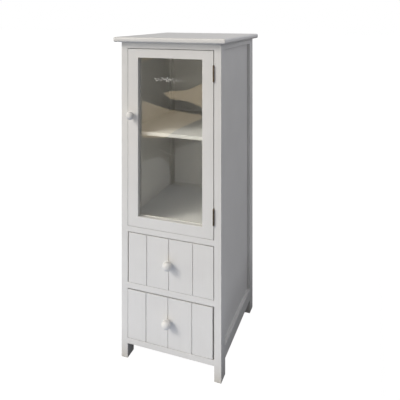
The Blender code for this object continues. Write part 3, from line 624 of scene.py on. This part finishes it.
# ---- finer pieces in place of CAD nodes ------------------------------------------
def finish_piece(name, bm, body, material, nodes=(), smooth=True):
    """Tidy a shape, make it an object that moves with a body, and retire the nodes it stands in for."""
    tidy(bm)
    item = new_object(name, bm, smooth)
    item.data.materials.append(material)
    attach(item, body)
    if nodes:
        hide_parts(*nodes)
    return item


def knob_outline(radius, reach, foot_height):
    """From the crown of the head down a smooth neck to the foot, and back to the axis."""
    depth = radius * KNOB_DEPTH
    head = arc((0.0, reach - depth), (radius, depth), 90, KNOB_HEAD_END, 30)
    neck = radius * KNOB_NECK
    cove_height = radius * KNOB_COVE
    edge = head[-1][0] + radius * KNOB_COVE_OUT
    cove = arc((edge, head[-1][1] - cove_height), (edge - neck, cove_height), 110, 180, 6)
    foot = radius * KNOB_FOOT
    flare_top = foot_height + KNOB_FLARE_RISE + KNOB_FLARE
    flare = arc((foot, flare_top), (foot - neck, KNOB_FLARE), 180, 260, 6)
    rim = [(foot, foot_height + KNOB_RIM), (foot - KNOB_RIM_SOFT, foot_height)]
    return head + cove + flare + rim + [(0.0, foot_height)]


def make_knob(node, body, paint):
    """A turned knob in place of the CAD one."""
    low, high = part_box(node)
    radius = (high.x - low.x) / 2
    base = Vector(((low.x + high.x) / 2, FACE_Y, (low.z + high.z) / 2))
    bm = bmesh.new()
    outline = knob_outline(radius, FACE_Y - low.y, FACE_Y - high.y)
    add_turned(bm, outline, facing(base, (0, -1, 0)), KNOB_STEPS)
    finish_piece(node + "_turned", bm, body, paint, [node])


def make_knob_screw(node, body, material, back_face):
    """The pan head behind a front, with its cross recess, and the shank into the knob."""
    low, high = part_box(node)
    centre = Vector(((low.x + high.x) / 2, 0.0, (low.z + high.z) / 2))
    radius = (high.x - low.x) / 2
    seat = back_face + SHANK_GRIP
    backward = facing(centre, (0, 1, 0))
    bm = bmesh.new()
    shank = [(0.0, low.y), (SHANK_TIP_RADIUS, low.y), (SHANK_RADIUS, low.y + SHANK_TAPER),
             (SHANK_RADIUS, seat), (0.0, seat)]
    add_turned(bm, shank, backward, SHANK_STEPS)
    rise = high.y - seat
    rim = seat + HEAD_SIDE * rise
    side = [(0.0, seat), (radius - HEAD_SOFT, seat), (radius, seat + HEAD_SOFT),
            (radius, rim - HEAD_SOFT), (0.0, rim - HEAD_SOFT)]
    add_turned(bm, side, backward, HEAD_STEPS)
    tidy(bm)
    add_cross_screw(bm, facing((centre.x, rim, centre.z), (0, 1, 0)), radius, HEAD_DOME * rise)
    finish_piece(node + "_cross_head", bm, body, material, [node])


def make_hinge_leaf(level, owner, axis, radius, low, high, material):
    """One hinge leaf: its plate, its knuckles round the pin and three countersunk screws."""
    is_frame = owner == "frame"
    side = 1 if is_frame else -1
    if is_frame:
        spans = [(low.z, low.z + KNUCKLE), (high.z - KNUCKLE, high.z)]
    else:
        spans = [(low.z + KNUCKLE + KNUCKLE_GAP, high.z - KNUCKLE - KNUCKLE_GAP)]
    near = axis.x + side * LEAF_GAP
    far = axis.x + side * (LEAF_GAP + LEAF_THICKNESS)
    left, right = min(near, far), max(near, far)
    plate_start = axis.y + radius + LEAF_OFF_BARREL
    bm = bmesh.new()
    add_box(bm, (left, plate_start, low.z), (right, high.y, high.z), LEAF_SOFT, 2)
    bore, soft = BARREL_BORE_RADIUS, BARREL_SOFT
    for start, end in spans:
        add_box(bm, (left, axis.y + bore, start), (right, plate_start + LEAF_OFF_BARREL, end))
        ring = [(bore, start), (radius - soft, start), (radius, start + soft), (radius, end - soft),
                (radius - soft, end), (bore, end)]
        add_turned(bm, ring, Matrix.Translation((axis.x, axis.y, 0.0)), HINGE_STEPS, closed=True)
    tidy(bm)
    screw_y = (plate_start + high.y) / 2
    for share in HINGE_SCREW_PLACES:
        place = (near, screw_y, low.z + (high.z - low.z) * share)
        add_cross_screw(bm, facing(place, (-side, 0, 0)), HINGE_SCREW_RADIUS, HINGE_SCREW_DOME)
    finish_piece(f"hinge_{level}_{owner}_leaf_cast", bm, "carcass" if is_frame else "door", material,
                 [f"hinge_{level}_{owner}_leaf"])


def make_hinge(level, material):
    """A butt hinge: two leaves and a pin with domed tips."""
    pin_low, pin_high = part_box(f"hinge_{level}_pin")
    low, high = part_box(f"hinge_{level}_frame_leaf")
    axis = (pin_low + pin_high) / 2
    radius = axis.y - low.y
    for owner in ("frame", "door"):
        make_hinge_leaf(level, owner, axis, radius, low, high, material)
    tip = (pin_high.z - pin_low.z) / 2
    under = (high.z - low.z) / 2 + PIN_HEAD_GAP
    head = (pin_high.x - pin_low.x) / 2
    crown = [(0.0, tip)] + arc((0.0, under), (head, tip - under), 75, 0, 6)
    outline = crown + [(PIN_RADIUS, under)]
    outline += [(reach, -height) for reach, height in reversed(outline)]
    bm = bmesh.new()
    add_turned(bm, outline, Matrix.Translation(axis), HINGE_STEPS)
    finish_piece(f"hinge_{level}_pin_domed", bm, "carcass", material, [f"hinge_{level}_pin"])


def make_rail(node, body, axis, materials):
    """A rail whose painted face runs into the upright beside it without a line."""
    low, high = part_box(node)
    step = Vector([BOARD_REACH if i == axis else 0.0 for i in range(3)])
    bm = bmesh.new()
    add_box(bm, low - step, high + step, BOARD_SOFT)
    finish_piece(node + "_painted", bm, body, materials["white_paint_" + AXES[axis]], [node], smooth=False)


def make_door_rail(node, inner_sign, material):
    """A door rail with its rebate. inner_sign is +1 where the glass is above it."""
    low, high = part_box(node)
    low, high = low - Vector((BOARD_REACH, 0, 0)), high + Vector((BOARD_REACH, 0, 0))
    split = GLASS_LOW.y - GLASS_ROOM
    lap = GLASS_LOW.z if inner_sign > 0 else GLASS_HIGH.z
    bm = bmesh.new()
    add_box(bm, low, (high.x, split, high.z), BOARD_SOFT)
    rear_low = Vector((low.x, split - REBATE_LAP, low.z if inner_sign > 0 else lap + GLASS_ROOM))
    rear_high = Vector((high.x, high.y, lap - GLASS_ROOM if inner_sign > 0 else high.z))
    add_box(bm, rear_low, rear_high, BOARD_SOFT)
    finish_piece(node + "_painted", bm, "door", material, [node], smooth=False)


def make_top_board(material):
    """The top board with a smooth round nosing."""
    low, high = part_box("top_board")
    bm = bmesh.new()
    add_box(bm, low, high, NOSING, NOSING_STEPS)
    item = finish_piece("top_board_nosed", bm, "carcass", material, ["top_board"])
    weighted = item.modifiers.new("flat_faces_stay_flat", "WEIGHTED_NORMAL")
    weighted.keep_sharp = True


def make_catch(plastic, steel):
    """A magnetic catch: a moulded body, the two steel poles and its screws."""
    low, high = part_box("catch_body")
    middle = (low + high) / 2
    bm = bmesh.new()
    add_box(bm, (low.x, low.y + POLE_PROUD, low.z), high, CATCH_SOFT, 4)
    finish_piece("catch_case", bm, "carcass", plastic, ["catch_body"])
    half_thickness, half_height = POLE_HALF
    bm = bmesh.new()
    for offset in (-POLE_ASIDE, POLE_ASIDE):
        add_box(bm, (middle.x + offset - half_thickness, low.y, middle.z - half_height),
                (middle.x + offset + half_thickness, middle.y, middle.z + half_height), POLE_SOFT, 2)
    tidy(bm)
    for rise in (-CATCH_SCREW_RISE, CATCH_SCREW_RISE):
        place = (high.x, middle.y, middle.z + rise)
        add_cross_screw(bm, facing(place, (1, 0, 0)), CATCH_SCREW_RADIUS, CATCH_SCREW_DOME)
    finish_piece("catch_poles_and_screws", bm, "carcass", steel)
    low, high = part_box("catch_strike_plate")
    middle = (low + high) / 2
    bm = bmesh.new()
    add_box(bm, low, high, STRIKE_SOFT, 3)
    tidy(bm)
    place = (middle.x, high.y, middle.z)
    add_cross_screw(bm, facing(place, (0, 1, 0)), CATCH_SCREW_RADIUS, CATCH_SCREW_DOME)
    finish_piece("strike_plate_pressed", bm, "door", steel, ["catch_strike_plate"])


def make_brads(body, material):
    """Small nail heads where a drawer's sides are fixed to its back."""
    shank_radius, shank_depth = BRAD_SHANK
    head = arc((0.0, 0.0), (BRAD_RADIUS, BRAD_DOME), 90, 0, 4)
    outline = head + [(shank_radius, -shank_depth), (0.0, -shank_depth)]
    bm = bmesh.new()
    for name, side in (("left", -1), ("right", 1)):
        low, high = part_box(f"{body}_side_{name}")
        face = low.x if side < 0 else high.x
        for share in BRAD_PLACES:
            place = (face, high.y - BRAD_INSET, low.z + (high.z - low.z) * share)
            add_turned(bm, outline, facing(place, (side, 0, 0)), BRAD_STEPS)
    finish_piece(f"{body}_brads", bm, body, material)


# ---- the printed sprig -----------------------------------------------------------
def add_blade(bm, place, angle, length, width):
    """A thin oval that lies on the pane."""
    turn = Matrix.Rotation(math.pi / 2, 4, "X")
    lie = Matrix.Rotation(-angle, 4, "Y")
    size = Matrix.Diagonal((length / 2, width / 2, 1.0, 1.0))
    matrix = Matrix.Translation(place) @ lie @ turn @ size
    bmesh.ops.create_cone(bm, cap_ends=True, segments=16, radius1=1.0, radius2=1.0,
                          depth=PRINT_THICKNESS, matrix=matrix)


def make_sprig(material):
    """A small leafy sprig printed in white on the pane: a rosette with a thin wavy stem to each side."""
    chance = random.Random(4)
    y = GLASS_LOW.y - PRINT_OFF_GLASS
    middle = (GLASS_LOW.x + GLASS_HIGH.x) / 2 - SPRIG_ASIDE
    pitch = SPRIG_HALF / SPRIG_STEPS
    bm = bmesh.new()
    for side in (-1, 1):
        for step in range(SPRIG_STEPS):
            share = (step + 1) / SPRIG_STEPS
            wave = share * WAVE_LENGTH + (WAVE_START if side > 0 else 0.0)
            spot = Vector((middle + side * SPRIG_HALF * share, y, SPRIG_Z + WAVE_HEIGHT * math.sin(wave)))
            slope = math.atan2(WAVE_HEIGHT * WAVE_LENGTH * math.cos(wave) / SPRIG_STEPS, pitch) * side
            add_blade(bm, spot, slope, pitch * STEM_LAP, STEM_WIDTH)
            length = (BLADE_FULL - BLADE_TAPER * share) * chance.uniform(*BLADE_LENGTHS) * MM
            lift = 1 if step % 2 else -1
            lean = slope + lift * side * math.radians(chance.uniform(*BLADE_LEANS))
            out = Vector((side * math.cos(lean), 0.0, side * math.sin(lean))) * length * BLADE_OUT
            add_blade(bm, spot + out, lean, length, BLADE_WIDTH)
    for petal in range(PETALS):
        angle = math.radians(360 / PETALS * petal + PETAL_START)
        outward = Vector((math.cos(angle), 0.0, math.sin(angle)))
        add_blade(bm, Vector((middle, y, SPRIG_Z)) + outward * ROSETTE_RADIUS, angle, *PETAL_SIZE)
    finish_piece("printed_sprig", bm, "door", material, smooth=False)


def make_finer_pieces(materials):
    """Everything that replaces or joins the CAD nodes."""
    brass, zinc = materials["aged_brass"], materials["zinc_steel"]
    for body, node, back_face in (("door", "door_knob", DOOR_BACK_FACE),
                                  ("upper_drawer", "upper_drawer_knob", DRAWER_BACK_FACE),
                                  ("lower_drawer", "lower_drawer_knob", DRAWER_BACK_FACE)):
        make_knob(node, body, materials["white_paint_y"])
        make_knob_screw(node + "_screw", body, zinc, back_face)
    for level in ("upper", "lower"):
        make_hinge(level, brass)
    for place in ("bottom", "divider", "middle", "top"):
        make_rail("front_rail_" + place, "carcass", 0, materials)
    for side in ("left", "right"):
        for place in ("bottom", "top"):
            make_rail(f"side_rail_{place}_{side}", "carcass", 1, materials)
    for place in ("bottom", "top"):
        make_rail("back_rail_" + place, "carcass", 0, materials)
    make_door_rail("door_rail_bottom", 1, materials["white_paint_x"])
    make_door_rail("door_rail_top", -1, materials["white_paint_x"])
    make_top_board(materials["white_paint_x"])
    make_catch(materials["grey_plastic"], zinc)
    for body in ("upper_drawer", "lower_drawer"):
        make_brads(body, zinc)
    make_sprig(materials["print"])


make_world()
make_camera()
make_lamp("key", KEY_DIRECTION, KEY_STRENGTH, KEY_SOFTNESS)
make_lamp("soft_front", SOFT_DIRECTION, SOFT_STRENGTH, SOFT_SOFTNESS)
make_floor()
make_floor_light()
for card in CARDS:
    make_card(*card)
MATERIALS = make_materials()
dress_nodes(MATERIALS)
make_finer_pieces(MATERIALS)
